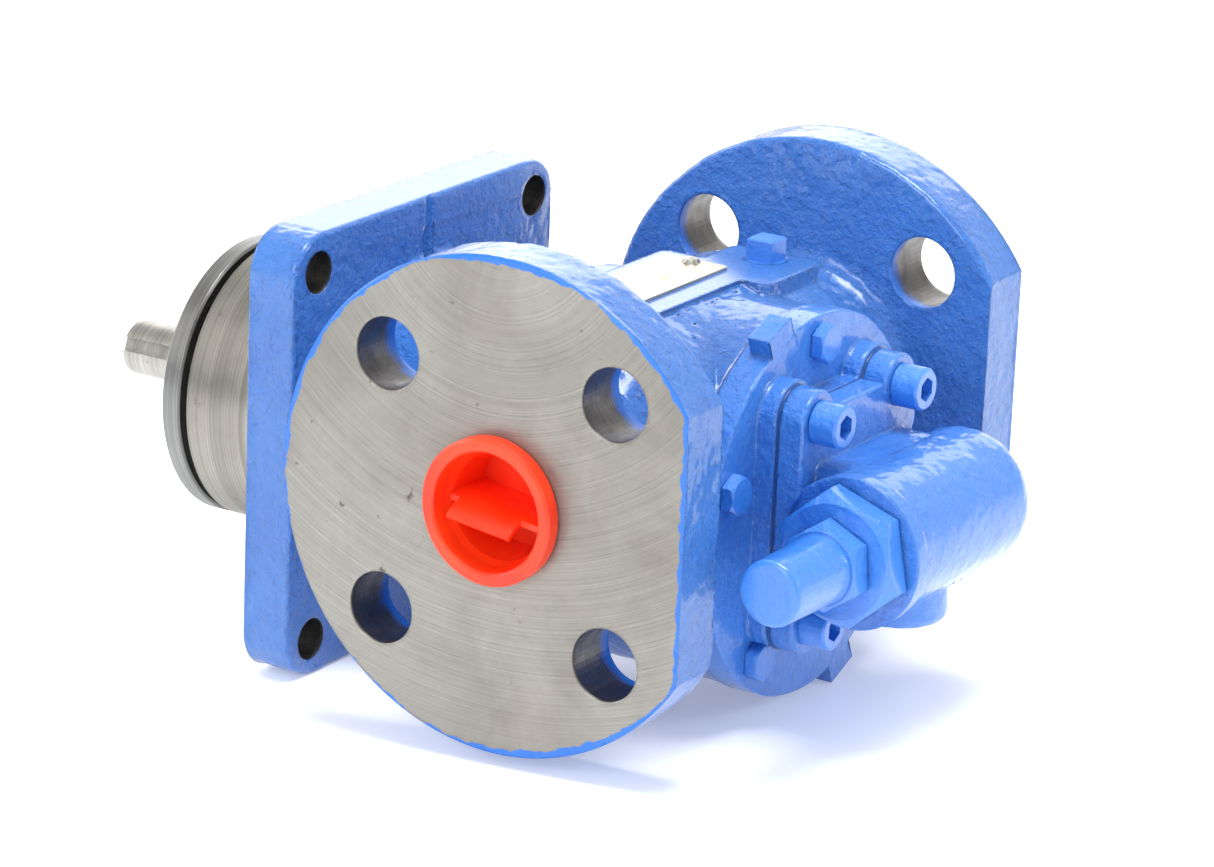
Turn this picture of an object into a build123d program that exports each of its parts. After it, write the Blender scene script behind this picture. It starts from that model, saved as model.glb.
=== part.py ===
from build123d import *
import math
import os

os.makedirs("parts", exist_ok=True)

# Internal gear pump with a relief valve on its head. Millimetres.
# +X runs along the shaft towards the head, +Y towards the far port, +Z up.
# The origin is on the shaft axis, in the plane where the square plate bolts on.

# Gap left between pieces that fit into each other, and between faces that meet
FIT = 0.05
TOUCH = 0.02

# Square mounting plate
PLATE_SIDE = 101.6
PLATE_T = 12.1
PLATE_CORNER_R = 10.0
PLATE_HOLE_R = 4.76
PLATE_HOLE_SPAN = 84.4

# Port flanges, 1 inch pipe size
PORT_X = 78.6
PORT_Z = 10.0
PORT_REACH = 70.8
FLANGE_R = 53.975
FLANGE_T = 14.0
FLANGE_PCD = 79.4
# Front and rear holes: the rear ones are drilled one size wider
FLANGE_HOLE_R = {-1: 7.94, 1: 8.13}
FLANGE_FLAT_X = 124.25
PORT_BORE_R = 12.7
NECK_R = 23.8
CROSS_R = 34.0

# Barrel, chamber and shaft side
BARREL_R = 42.2
BARREL_X0 = 50.0
BARREL_X1 = 106.0
HUB_R = 35.0
CHAMBER_R = 30.55
CHAMBER_X = 62.0
SPIGOT_R = 31.85
SPIGOT_DEPTH = 1.6
CARRIER_BORE_R = 28.0
CARRIER_BORE_X = 20.0
SEAL_BORE_R = 14.5
SEAL_BORE_X = 46.0
PAD_Z = 43.5

# Pilot of the bearing carrier and its cover
PILOT_R = 32.2
PILOT_X = -31.2
RECESS_X = 1.0
SEAT_X = RECESS_X - TOUCH
UNDERCUT = 0.4
COVER_X0 = -37.9
COVER_X1 = -32.9
BEARING_X0 = -27.0
BEARING_X1 = -16.0
BEARING_R = 17.5
BALL_CIRCLE_R = 12.5
BALL_R = 2.977
BALL_COUNT = 9
COVER_SCREW_CIRCLE_R = 28.0
COVER_SCREW_COUNT = 4
COVER_SCREW_R = 2.0
SETSCREW_X = 14.5
SETSCREW_R = 3.0

# Shaft
SHAFT_R = 6.35
SHAFT_TIP_X = -69.4
SHAFT_MAIN_R = 7.94
SHAFT_END_X = 69.5
JOURNAL_R = 7.48
BUSHING_R = 11.0
KEYWAY_W = 3.18
KEYWAY_TURN = 20.0

# Gear set
MODULE = 3.0
PRESSURE = math.radians(25.0)
ROTOR_TEETH = 15
IDLER_TEETH = 10
OFFSET = MODULE * (ROTOR_TEETH - IDLER_TEETH) / 2
TOOTH_W = 4.55
ROTOR_R = 30.46
ROTOR_TIP_R = 20.45
ROTOR_FLANK_R = 25.0
IDLER_TIP_R = 17.4
IDLER_ROOT_R = 12.0
ROTOR_DISC_X = 62.1
TOOTH_X0 = 70.0
TOOTH_X1 = 104.2
PIN_R = 5.5

# Head
GASKET_T = 0.5
HEAD_R = 42.7
HEAD_X0 = BARREL_X1 + GASKET_T
FACE_X = 113.7
BOSS_X = 118.0
BOLT_CIRCLE_R = 36.5
BOLT_COUNT = 5
BOLT_R = 2.4
BOLT_AF = 8.0
BOLT_HEAD_T = 2.9
LUG_ANGLES = (112.0, -68.0)
LUG_R = 46.6
LUG_W = 9.6
LUG_X = 108.2

# Relief valve: its spring axis is at VALVE_X, level with the shaft
VALVE_X = 136.5
EARS_Z = 2.5
VALVE_R = 16.0
VALVE_FACE_X = 118.6
EAR_TOP_X = 124.3
SCREW_Y = 17.35
SCREW_Z = 22.5
EAR_R = 6.9
SCREW_R = 3.175
SHCS_HEAD_R = 4.76
SHCS_HEAD_T = 6.35
SHCS_SOCKET_AF = 4.76
DOME_Y = 33.0
DRAIN_BOSS_DROP = 19.4
DRAIN_BOSS_Y = -2.0
COLLAR_Y = -23.5
BONNET_Y = -30.2
BONNET_AF = 26.5
CAP_HEX_AF = 17.0
CAP_HEX_Y = -36.0
CAP_END_Y = -56.3
CAP_R = 7.2
SEAT_Y = 4.0
POPPET_BORE_R = 9.45
SEAT_R = 6.5
BONNET_THREAD_R = 11.0
CAP_THREAD_R = 6.0
ADJUSTER_R = 4.0
PASSAGE_R = 3.5
PASSAGE_Y = 18.5
PASSAGE_Z = 8.0

# Fittings
PLUG_X = 83.4
PLUG_Y = 27.0
PLUG_SIDE = 6.4
PLUG_TOP = 5.0
NAMEPLATE_X = 73.2
NAMEPLATE_W = 16.4
NAMEPLATE_Y = (-24.0, 14.6)
NAMEPLATE_PIN_Y = (-21.0, 12.2)
LIP_R = 15.9
LIP_Y = 75.0
WEB_T = 1.2
WEB_TILT = 7.0
TAB_CURL_R = 10.5
TAB_CURL = 50.0
TAB_HALF_W = 11.45


def block(x0, x1, y0, y1, z0, z1):
    """Box between the given faces."""
    centre = ((x0 + x1) / 2, (y0 + y1) / 2, (z0 + z1) / 2)
    return Pos(*centre) * Box(x1 - x0, y1 - y0, z1 - z0)


def rod(r, start, length, direction=(1, 0, 0)):
    """Cylinder that grows from start along direction."""
    align = (Align.CENTER, Align.CENTER, Align.MIN)
    return Plane(origin=start, z_dir=direction) * Cylinder(r, length, align=align)


def outline(points, rounds=()):
    """Closed face through the points; rounds lists (point number, corner radius)."""
    face = make_face(Polyline(*points, close=True))
    for number, radius in rounds:
        corner = face.vertices().sort_by_distance(Vector(*points[number], 0))[0]
        face = fillet(corner, radius)
    return face


def turned(points, start=(0, 0, 0), direction=(1, 0, 0), rounds=()):
    """Turned part: (radius, height) points spun about the line through start."""
    face = Plane.XZ * outline(points, rounds)
    return Plane(origin=start, z_dir=direction) * revolve(face, Axis.Z)


def hexagon(af, start, length, direction=(1, 0, 0), turn=0.0):
    """Hexagonal prism with its corners rounded off at the free end."""
    plane = Plane(origin=start, z_dir=direction)
    prism = extrude(RegularPolygon(af / math.sqrt(3), 6, rotation=turn), length)
    crown = af * 0.58
    cone = [(0, 0), (crown, 0), (crown, length - 0.09 * af), (af * 0.475, length), (0, length)]
    return plane * (prism & revolve(Plane.XZ * outline(cone), Axis.Z))


def ring(r0, r1, x0, x1):
    """Plain ring about the shaft axis."""
    return turned([(r0, x0), (r1, x0), (r1, x1), (r0, x1)])


def about_shaft(part, angle):
    """Turn a part about the shaft axis."""
    return Rot(angle, 0, 0) * part


def on_circle(radius, angle):
    """Y and Z of a point at an angle from +Y towards +Z."""
    a = math.radians(angle)
    return radius * math.cos(a), radius * math.sin(a)


def inv(angle):
    """Involute of an angle."""
    return math.tan(angle) - angle


def flank_angle(pitch_r, width, r):
    """Half angle that a tooth, or an internal gear's space, takes up at radius r."""
    base = pitch_r * math.cos(PRESSURE)
    at_r = math.acos(min(1.0, base / max(r, base)))
    return width / (2 * pitch_r) + inv(PRESSURE) - inv(at_r)


def polar(r, a):
    """Point at radius r and angle a."""
    return (r * math.cos(a), r * math.sin(a))


def arc(r, a0, a1):
    """Arc about the centre from angle a0 to a1."""
    return ThreePointArc(polar(r, a0), polar(r, (a0 + a1) / 2), polar(r, a1))


def cover_screw_points():
    step = 360 / COVER_SCREW_COUNT
    return [on_circle(COVER_SCREW_CIRCLE_R, step * (k + 0.5)) for k in range(COVER_SCREW_COUNT)]


def plate_corners(span):
    return [(y * span / 2, z * span / 2) for y in (-1, 1) for z in (-1, 1)]


def head_bolt_angles():
    return [90 + k * 360 / BOLT_COUNT for k in range(BOLT_COUNT)]


def valve_screw_points():
    return [(y * SCREW_Y, EARS_Z + z * SCREW_Z) for y in (-1, 1) for z in (-1, 1)]


# ---------------------------------------------------------------- casing
def mounting_plate():
    half = PLATE_SIDE / 2
    plate = block(0, PLATE_T, -half, half, -half, half)
    plate = fillet(plate.edges().filter_by(Axis.X), PLATE_CORNER_R)
    plate = fillet(plate.faces().sort_by(Axis.X)[-1].edges(), 1.2)
    for y, z in plate_corners(PLATE_HOLE_SPAN):
        plate -= rod(PLATE_HOLE_R, (-1, y, z), PLATE_T + 2)
    return plate


def port_branch(side):
    """Neck and flange of one port, with the flat that clears the head."""
    back = PORT_REACH - FLANGE_T
    shape = [
        (0, 0), (CROSS_R, 0), (CROSS_R, 30), (NECK_R, 44), (NECK_R, back),
        (FLANGE_R, back), (FLANGE_R, PORT_REACH), (0, PORT_REACH),
    ]
    rounds = [(2, 8), (3, 7), (4, 5), (5, 1.5)]
    branch = turned(shape, (PORT_X, 0, PORT_Z), (0, side, 0), rounds)
    y0, y1 = sorted((side * (back - 1), side * (PORT_REACH + 1)))
    branch -= block(FLANGE_FLAT_X, FLANGE_FLAT_X + 20, y0, y1, -60, 80)
    for k in range(4):
        a = math.radians(45 + 90 * k)
        x = PORT_X + FLANGE_PCD / 2 * math.cos(a)
        z = PORT_Z + FLANGE_PCD / 2 * math.sin(a)
        start = (x, side * (back - 1), z)
        branch -= rod(FLANGE_HOLE_R[side], start, FLANGE_T + 2, (0, side, 0))
    return branch


def barrel():
    shape = [
        (0, 5), (38, 5), (38, PLATE_T), (HUB_R, PLATE_T + 4), (HUB_R, BARREL_X0 - 6),
        (BARREL_R, BARREL_X0 + 4), (BARREL_R, BARREL_X1), (0, BARREL_X1),
    ]
    return turned(shape, rounds=[(3, 3), (4, 5), (5, 5)])


def top_pads():
    """Flat for the rating plate and the lower boss for the square plug."""
    plate_pad = fillet(block(62, 88, -27, 19, 25, PAD_Z).edges().filter_by(Axis.Z), 3)
    plug_boss = fillet(block(72, 95, 9, 33, 25, PAD_Z).edges().filter_by(Axis.Z), 3)
    return plate_pad + plug_boss


def casing_bores():
    cut = rod(CARRIER_BORE_R, (-1, 0, 0), CARRIER_BORE_X + 1)
    cut += rod(PILOT_R + FIT, (-1, 0, 0), RECESS_X + 1)
    cut += rod(SEAL_BORE_R, (0, 0, 0), SEAL_BORE_X)
    cut += rod(BUSHING_R + TOUCH, (SEAL_BORE_X - 1, 0, 0), CHAMBER_X - SEAL_BORE_X + 2)
    cut += rod(CHAMBER_R, (CHAMBER_X, 0, 0), BARREL_X1 - CHAMBER_X + 1)
    cut += rod(SPIGOT_R + FIT, (BARREL_X1 - SPIGOT_DEPTH, 0, 0), SPIGOT_DEPTH + 1)
    for side in (-1, 1):
        start = (PORT_X, side * 18, PORT_Z)
        cut += rod(PORT_BORE_R, start, PORT_REACH - 17, (0, side, 0))
    for angle in head_bolt_angles():
        y, z = on_circle(BOLT_CIRCLE_R, angle)
        cut += rod(BOLT_R + FIT, (BARREL_X1 - 13, y, z), 14)
    cut += rod(4.6, (PLUG_X, PLUG_Y, 20), 30, (0, 0, 1))
    for y in NAMEPLATE_PIN_Y:
        cut += rod(1.1, (NAMEPLATE_X, y, PAD_Z - 4), 5, (0, 0, 1))
    for side in (-1, 1):
        cut += rod(SETSCREW_R + TOUCH, (SETSCREW_X, 0, side * 20), 41, (0, 0, side))
    return cut


def pump_casing():
    body = mounting_plate() + barrel() + port_branch(-1) + port_branch(1) + top_pads()
    body -= casing_bores()
    body -= block(BARREL_X1, BARREL_X1 + 10, -52, 52, -60, 60)
    body -= block(40, 120, -46, 46, PAD_Z, PAD_Z + 10)
    for y, z in plate_corners(PLATE_HOLE_SPAN):
        body -= rod(PLATE_HOLE_R, (-1, y, z), PLATE_T + 2)
    return body


# ---------------------------------------------------------------- shaft side
def bearing_carrier():
    """Steel housing: its outside is the pilot, its inside holds the ball bearing."""
    shape = [
        (24, PILOT_X), (PILOT_R - 0.6, PILOT_X), (PILOT_R, PILOT_X + 0.6), (PILOT_R, -0.3),
        (PILOT_R - UNDERCUT, -0.3), (PILOT_R - UNDERCUT, SEAT_X), (27.96, SEAT_X), (27.96, 19.9), (14.02, 19.9), (14.02, 14), (13, 14), (13, BEARING_X1),
        (BEARING_R + 0.01, BEARING_X1), (BEARING_R + 0.01, BEARING_X0), (24, BEARING_X0),
    ]
    body = turned(shape)
    for y, z in cover_screw_points():
        body -= rod(COVER_SCREW_R + TOUCH, (PILOT_X - 1, y, z), 11)
    for side in (-1, 1):
        body -= rod(SETSCREW_R + TOUCH, (SETSCREW_X, 0, side * 25.5), 5, (0, 0, side))
    return body


def carrier_setscrews():
    screws = []
    for side in (-1, 1):
        screw = rod(SETSCREW_R, (SETSCREW_X, 0, side * 25.6), 8, (0, 0, side))
        screws.append(screw - hexagon(3, (SETSCREW_X, 0, side * 31.0), 3, (0, 0, side)))
    return Compound(children=screws)


def bearing_cover():
    shape = [
        (8.6, COVER_X0), (PILOT_R - 0.6, COVER_X0), (PILOT_R, COVER_X0 + 0.6),
        (PILOT_R, COVER_X1 - 0.5), (PILOT_R - 0.5, COVER_X1), (23.95, COVER_X1),
        (23.95, BEARING_X0 - 0.05), (15.2, BEARING_X0 - 0.05), (15.2, -30.9), (13.01, -30.9),
        (13.01, -36.9), (8.6, -36.9),
    ]
    body = turned(shape)
    for y, z in cover_screw_points():
        body -= rod(COVER_SCREW_R + 0.15, (COVER_X0 - 1, y, z), 8)
        body -= rod(3.7, (COVER_X0 - 1, y, z), 4)
    return body


def cover_screws():
    screws = []
    for y, z in cover_screw_points():
        screw = rod(COVER_SCREW_R, (COVER_X0 + 3, y, z), 13)
        screw += rod(3.5, (COVER_X0 + 0.4, y, z), 2.6)
        screw -= hexagon(2.5, (COVER_X0 + 1.9, y, z), 3, (-1, 0, 0))
        screws.append(screw)
    return Compound(children=screws)


def seal_case():
    """Pressed steel shell of the lip seal."""
    shape = [
        (9.2, -36.8), (12.98, -36.8), (12.98, -31), (12.2, -31), (12.2, -36.0), (9.2, -36.0),
    ]
    return turned(shape)


def seal_lip():
    shape = [
        (7.44, -34.2), (8.0, -35.9), (12.15, -35.95), (12.15, -34.4), (9.6, -34.4),
        (9.6, -31.4), (8.5, -31.4), (7.44, -33.4),
    ]
    return turned(shape)


def bearing_race(r0, r1):
    race = ring(r0, r1, BEARING_X0 + TOUCH, BEARING_X1 - TOUCH)
    groove = Plane.YZ * Torus(BALL_CIRCLE_R, BALL_R + 0.023)
    return race - Pos((BEARING_X0 + BEARING_X1) / 2, 0, 0) * groove


def ball_points():
    x = (BEARING_X0 + BEARING_X1) / 2
    step = 360 / BALL_COUNT
    return [(x, *on_circle(BALL_CIRCLE_R, step * k)) for k in range(BALL_COUNT)]


def bearing_balls():
    return Compound(children=[Pos(*p) * Sphere(BALL_R) for p in ball_points()])


def bearing_cage():
    x = (BEARING_X0 + BEARING_X1) / 2
    cage = ring(BALL_CIRCLE_R - 0.6, BALL_CIRCLE_R + 0.6, x - 4.0, x + 4.0)
    for point in ball_points():
        cage -= Pos(*point) * Sphere(BALL_R + 0.073)
    return cage


def drive_shaft():
    shape = [
        (0, SHAFT_TIP_X), (SHAFT_R - 0.8, SHAFT_TIP_X), (SHAFT_R, SHAFT_TIP_X + 0.8),
        (SHAFT_R, -38.6), (7.4, -37.6), (7.4, -30.2), (JOURNAL_R, -30.2), (JOURNAL_R, -28.4),
        (6.95, -28.4), (6.95, -27.15), (JOURNAL_R, -27.15), (JOURNAL_R, BEARING_X1),
        (9.6, BEARING_X1),
        (9.6, -12.5), (SHAFT_MAIN_R, -12.5), (SHAFT_MAIN_R, ROTOR_DISC_X), (6.98, ROTOR_DISC_X),
        (6.98, SHAFT_END_X), (0, SHAFT_END_X),
    ]
    body = turned(shape)
    slot_w = KEYWAY_W / 2
    keyway = block(SHAFT_TIP_X - 1, -56.5, -slot_w, slot_w, 4.75, 8)
    keyway += rod(slot_w, (-56.5, 0, 4.75), 4, (0, 0, 1))
    body -= about_shaft(keyway, 90 - KEYWAY_TURN)
    body -= block(ROTOR_DISC_X + 0.6, SHAFT_END_X + 1, -1.5, 1.5, 5.2, 9)
    return body


def shaft_ring():
    """Snap ring in the groove in front of the inner race, open at the top."""
    body = ring(6.97, 9.3, -28.35, -27.2)
    return body - block(-29, -26, -1.6, 1.6, 0, 12)


def seal_seat():
    return turned([(8.7, 14.1), (12.4, 14.1), (12.4, 20.0), (8.7, 20.0)], rounds=[(2, 0.4)])


def seal_seat_boot():
    return turned([(12.42, 14.1), (14.0, 14.1), (14.0, 19.8), (12.42, 19.8)])


def seal_face():
    return turned([(8.0, 20.05), (11.2, 20.05), (11.2, 22), (12.4, 22), (12.4, 25), (8.0, 25)])


def seal_bellows():
    shape = [
        (7.96, 25.05), (12.2, 25.05), (12.2, 27.5), (9.2, 27.5), (9.2, 41.5), (7.96, 41.5),
    ]
    return turned(shape, rounds=[(3, 0.6)])


def seal_spring():
    coil = Helix(pitch=3.4, height=13.2, radius=10.6)
    start = Plane(origin=coil @ 0, z_dir=coil % 0)
    wire = sweep(start * Circle(0.7), path=coil, is_frenet=True)
    return Plane(origin=(28.3, 0, 0), z_dir=(1, 0, 0)) * wire


def seal_collar():
    body = ring(7.98, 12.2, 42.3, 45.4)
    return body - rod(1.2, (43.9, 0, 6), 8, (0, 0, 1))


def shaft_bushing():
    x0 = SEAL_BORE_X + 0.1
    x1 = CHAMBER_X - 0.2
    shape = [(7.98, x0), (BUSHING_R, x0), (BUSHING_R, x1), (7.98, x1)]
    return turned(shape, rounds=[(1, 0.5)])


# ---------------------------------------------------------------- gear set
def rotor_tooth():
    """One axial tooth of the rotor, centred on the Y axis of its own sketch."""
    half = math.pi / ROTOR_TEETH
    pitch_r = MODULE * ROTOR_TEETH / 2
    space = math.pi * MODULE - TOOTH_W
    radii = [ROTOR_TIP_R + (ROTOR_FLANK_R - ROTOR_TIP_R) * k / 6 for k in range(7)]
    angles = [half - flank_angle(pitch_r, space, r) for r in radii]
    outer = half - 1.75 / ROTOR_R
    left = Spline(*[polar(r, a) for r, a in zip(radii, angles)])
    right = Spline(*[polar(r, -a) for r, a in zip(radii, angles)])
    edges = [left, right, arc(ROTOR_TIP_R, -angles[0], angles[0]), arc(ROTOR_R, -outer, outer)]
    for s in (-1, 1):
        edges.append(Line(polar(radii[-1], s * angles[-1]), polar(ROTOR_R, s * outer)))
    return make_face(edges)


def rotor():
    """Disc with a ring of axial teeth; the gaps between them run out to the rim."""
    body = ring(7.0, ROTOR_R, ROTOR_DISC_X, TOOTH_X0)
    tooth = extrude(rotor_tooth(), TOOTH_X1 - TOOTH_X0 + 1)
    plane = Plane(origin=(TOOTH_X0 - 1, 0, 0), x_dir=(0, 1, 0), z_dir=(1, 0, 0))
    for k in range(ROTOR_TEETH):
        turn = 90 + 180 / ROTOR_TEETH + k * 360 / ROTOR_TEETH
        body += plane * (Rot(0, 0, turn) * tooth)
    return body - block(ROTOR_DISC_X - 1, TOOTH_X0 + 1, -1.52, 1.52, 0, 8.62)


def rotor_key():
    return block(ROTOR_DISC_X + 0.7, SHAFT_END_X - 0.1, -1.48, 1.48, 5.22, 8.58)


def idler_profile():
    pitch_r = MODULE * IDLER_TEETH / 2
    base = pitch_r * math.cos(PRESSURE)
    step = 2 * math.pi / IDLER_TEETH
    radii = [base + (IDLER_TIP_R - base) * k / 6 for k in range(7)]
    angles = [flank_angle(pitch_r, TOOTH_W, r) for r in radii]
    edges = []
    for k in range(IDLER_TEETH):
        mid = math.pi / 2 + k * step
        for s in (-1, 1):
            edges.append(Spline(*[polar(r, mid + s * a) for r, a in zip(radii, angles)]))
            foot = mid + s * angles[0]
            edges.append(Line(polar(base, foot), polar(IDLER_ROOT_R, foot)))
        edges.append(arc(IDLER_TIP_R, mid - angles[-1], mid + angles[-1]))
        edges.append(arc(IDLER_ROOT_R, mid + angles[0], mid + step - angles[0]))
    return make_face(edges)


def idler_gear():
    plane = Plane(origin=(TOOTH_X0 + 0.1, 0, OFFSET), x_dir=(0, 1, 0), z_dir=(1, 0, 0))
    gear = plane * extrude(idler_profile(), TOOTH_X1 - TOOTH_X0 - 0.1)
    return gear - rod(7.82, (TOOTH_X0 - 1, 0, OFFSET), 50)


def idler_bushing():
    x0 = TOOTH_X0 + 0.2
    length = TOOTH_X1 - x0
    return rod(7.8, (x0, 0, OFFSET), length) - rod(PIN_R + 0.03, (x0 - 1, 0, OFFSET), 50)


def idler_pin():
    shape = [
        (0, 70.3), (PIN_R - 0.6, 70.3), (PIN_R, 70.9), (PIN_R, 111.9), (0, 111.9),
    ]
    return turned(shape, (0, 0, OFFSET))


# ---------------------------------------------------------------- head
def crescent():
    """Divider between the two gears, cast on the head."""
    x0 = TOOTH_X0 + 0.15
    length = BARREL_X1 - x0
    body = rod(ROTOR_TIP_R - 0.08, (x0, 0, 0), length)
    body -= rod(IDLER_TIP_R + 0.08, (x0 - 1, 0, OFFSET), length + 2)
    return body - block(x0 - 1, BARREL_X1 + 1, -40, 40, 2, 40)


def valve_outline(grow):
    """Four-eared joint face shared by the head boss, the gasket and the valve."""
    r = EAR_R + grow
    body = Circle(1)
    for y, z in valve_screw_points():
        body += Pos(y, z) * Circle(r)
    body += Pos(0, EARS_Z) * Rectangle(2 * (SCREW_Y + r), 2 * SCREW_Z)
    body += Pos(0, EARS_Z) * Rectangle(2 * SCREW_Y - 14, 2 * SCREW_Z + 4)
    return body


def valve_slab(grow, x0, x1):
    plane = Plane(origin=(x0, 0, 0), x_dir=(0, 1, 0), z_dir=(1, 0, 0))
    return plane * extrude(valve_outline(grow), x1 - x0)


def valve_passages(x0, x1):
    cut = rod(PASSAGE_R, (x0, -PASSAGE_Y, PASSAGE_Z), x1 - x0)
    return cut + rod(PASSAGE_R, (x0, PASSAGE_Y, PASSAGE_Z), x1 - x0)


def head():
    x0 = BARREL_X1 - SPIGOT_DEPTH + 0.1
    shape = [
        (0, x0), (SPIGOT_R, x0), (SPIGOT_R, HEAD_X0), (HEAD_R, HEAD_X0), (HEAD_R, FACE_X),
        (0, FACE_X),
    ]
    body = turned(shape, rounds=[(4, 0.7)])
    for angle in LUG_ANGLES:
        lug = block(LUG_X, FACE_X, 30, LUG_R, -LUG_W / 2, LUG_W / 2)
        body += about_shaft(lug, angle)
    body += crescent() + valve_slab(1.0, FACE_X - 2, BOSS_X)
    for angle in head_bolt_angles():
        y, z = on_circle(BOLT_CIRCLE_R, angle)
        body -= rod(BOLT_R + 0.2, (HEAD_X0 - 5, y, z), 20)
        body -= rod(5.3, (FACE_X, y, z), 10)
    body -= rod(PIN_R, (TOOTH_X0, 0, OFFSET), 42)
    body -= valve_passages(100, 120)
    for y, z in valve_screw_points():
        body -= rod(SCREW_R + FIT, (BOSS_X - 9.5, y, z), 12)
    return body


def head_gasket():
    body = ring(SPIGOT_R + 0.1, HEAD_R - 0.3, BARREL_X1 + TOUCH, HEAD_X0 - TOUCH)
    for angle in head_bolt_angles():
        y, z = on_circle(BOLT_CIRCLE_R, angle)
        body -= rod(BOLT_R + 0.2, (100, y, z), 10)
    return body


def head_bolts():
    bolts = []
    for angle in head_bolt_angles():
        y, z = on_circle(BOLT_CIRCLE_R, angle)
        bolt = hexagon(BOLT_AF, (FACE_X + 0.01, y, z), BOLT_HEAD_T)
        bolts.append(bolt + rod(BOLT_R, (BARREL_X1 - 12, y, z), FACE_X - BARREL_X1 + 12.5))
    return Compound(children=bolts)


# ---------------------------------------------------------------- relief valve
def valve_gasket():
    body = valve_slab(0.2, BOSS_X + TOUCH, VALVE_FACE_X - TOUCH) - valve_passages(110, 130)
    for y, z in valve_screw_points():
        body -= rod(3.4, (110, y, z), 20)
    return body


def valve_body():
    """Cross-lying cylinder with a domed end, a neck and a four-eared flange."""
    reach = DOME_Y - COLLAR_Y
    shape = [
        (0, 0), (VALVE_R + 0.8, 0), (VALVE_R + 0.8, 4), (VALVE_R, 5), (VALVE_R, reach),
        (0, reach),
    ]
    body = turned(shape, (VALVE_X, COLLAR_Y, 0), (0, 1, 0), [(4, 9)])
    neck = block(EAR_TOP_X - 2, VALVE_X, -19, 21, -15.5, 15.5)
    body += fillet(neck.edges().filter_by(Axis.X), 4)
    boss = rod(11.5, (VALVE_X, DRAIN_BOSS_Y, -DRAIN_BOSS_DROP), DRAIN_BOSS_DROP - 10, (0, 0, 1))
    body += fillet(boss.faces().sort_by(Axis.Z)[0].edges(), 2.5)
    slab = valve_slab(0, VALVE_FACE_X, EAR_TOP_X)
    body += fillet(slab.faces().sort_by(Axis.X)[-1].edges(), 0.8)
    body -= rod(15.7, (VALVE_X, COLLAR_Y, 0), 12, (0, -1, 0))
    body -= rod(BONNET_THREAD_R + FIT, (VALVE_X, COLLAR_Y - 1, 0), 10.5, (0, 1, 0))
    body -= rod(POPPET_BORE_R, (VALVE_X, COLLAR_Y, 0), SEAT_Y - 2.5 - COLLAR_Y, (0, 1, 0))
    cone = POPPET_BORE_R - SEAT_R
    seat = [(0, 0), (POPPET_BORE_R, 0), (SEAT_R, cone), (SEAT_R, 20), (0, 20)]
    body -= turned(seat, (VALVE_X, SEAT_Y - 2.5, 0), (0, 1, 0))
    body -= valve_passages(VALVE_FACE_X - 1, VALVE_X)
    for y, z in valve_screw_points():
        body -= rod(3.4, (VALVE_FACE_X - 1, y, z), 12)
        body -= rod(SHCS_HEAD_R + 0.6, (EAR_TOP_X, y, z), 20)
    return body


def valve_screws():
    screws = []
    for y, z in valve_screw_points():
        top = EAR_TOP_X + SHCS_HEAD_T
        shape = [
            (0, BOSS_X - 8.5), (SCREW_R, BOSS_X - 8.5), (SCREW_R, EAR_TOP_X + 0.01),
            (SHCS_HEAD_R, EAR_TOP_X + 0.01), (SHCS_HEAD_R, top - 0.5), (SHCS_HEAD_R - 0.5, top),
            (0, top),
        ]
        socket = extrude(RegularPolygon(SHCS_SOCKET_AF / math.sqrt(3), 6), 3.4)
        screw = turned(shape, (0, y, z))
        screws.append(screw - Plane(origin=(top - 3.3, y, z), z_dir=(1, 0, 0)) * socket)
    return Compound(children=screws)


def valve_poppet():
    """Hollow poppet whose cone closes on the seat in the body."""
    shape = [
        (0, 1.0), (6.35, 1.0), (9.38, -2.05), (9.38, -12), (7.2, -12), (7.2, -4), (0, -4),
    ]
    return turned(shape, (VALVE_X, SEAT_Y - 0.6, 0), (0, 1, 0))


def relief_spring():
    coil = Helix(pitch=3.3, height=16.4, radius=5.8)
    start = Plane(origin=coil @ 0, z_dir=coil % 0)
    wire = sweep(start * Circle(0.8), path=coil, is_frenet=True)
    return Plane(origin=(VALVE_X, -18.15, 0), z_dir=(0, 1, 0)) * wire


def spring_guide():
    shape = [
        (0, -21.4), (8.6, -21.4), (8.6, -19.2), (4.4, -19.2), (4.4, -15), (3.4, -14), (0, -14),
    ]
    return turned(shape, (VALVE_X, 0, 0), (0, 1, 0))


def adjusting_screw():
    shape = [
        (0, -50), (ADJUSTER_R - 0.6, -50), (ADJUSTER_R, -49.4), (ADJUSTER_R, -23.2),
        (2.5, -21.5), (0, -21.5),
    ]
    body = turned(shape, (VALVE_X, 0, 0), (0, 1, 0))
    return body - block(VALVE_X - 5, VALVE_X + 5, -51, -48.4, -0.6, 0.6)


def bonnet():
    start = (VALVE_X, COLLAR_Y - 0.6, 0)
    length = COLLAR_Y - 0.6 - BONNET_Y
    body = hexagon(BONNET_AF, start, length, (0, -1, 0), 11.3)
    body += rod(BONNET_THREAD_R, (VALVE_X, COLLAR_Y - 1, 0), 10, (0, 1, 0))
    body += rod(CAP_THREAD_R, (VALVE_X, BONNET_Y + 1, 0), 11, (0, -1, 0))
    body -= rod(8.9, (VALVE_X, -26, 0), 20, (0, 1, 0))
    return body - rod(ADJUSTER_R + FIT, (VALVE_X, -45, 0), 30, (0, 1, 0))


def bonnet_gasket():
    shape = [(11.1, -24.08), (13.0, -24.08), (13.0, -23.52), (11.1, -23.52)]
    return turned(shape, (VALVE_X, 0, 0), (0, 1, 0))


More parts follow.
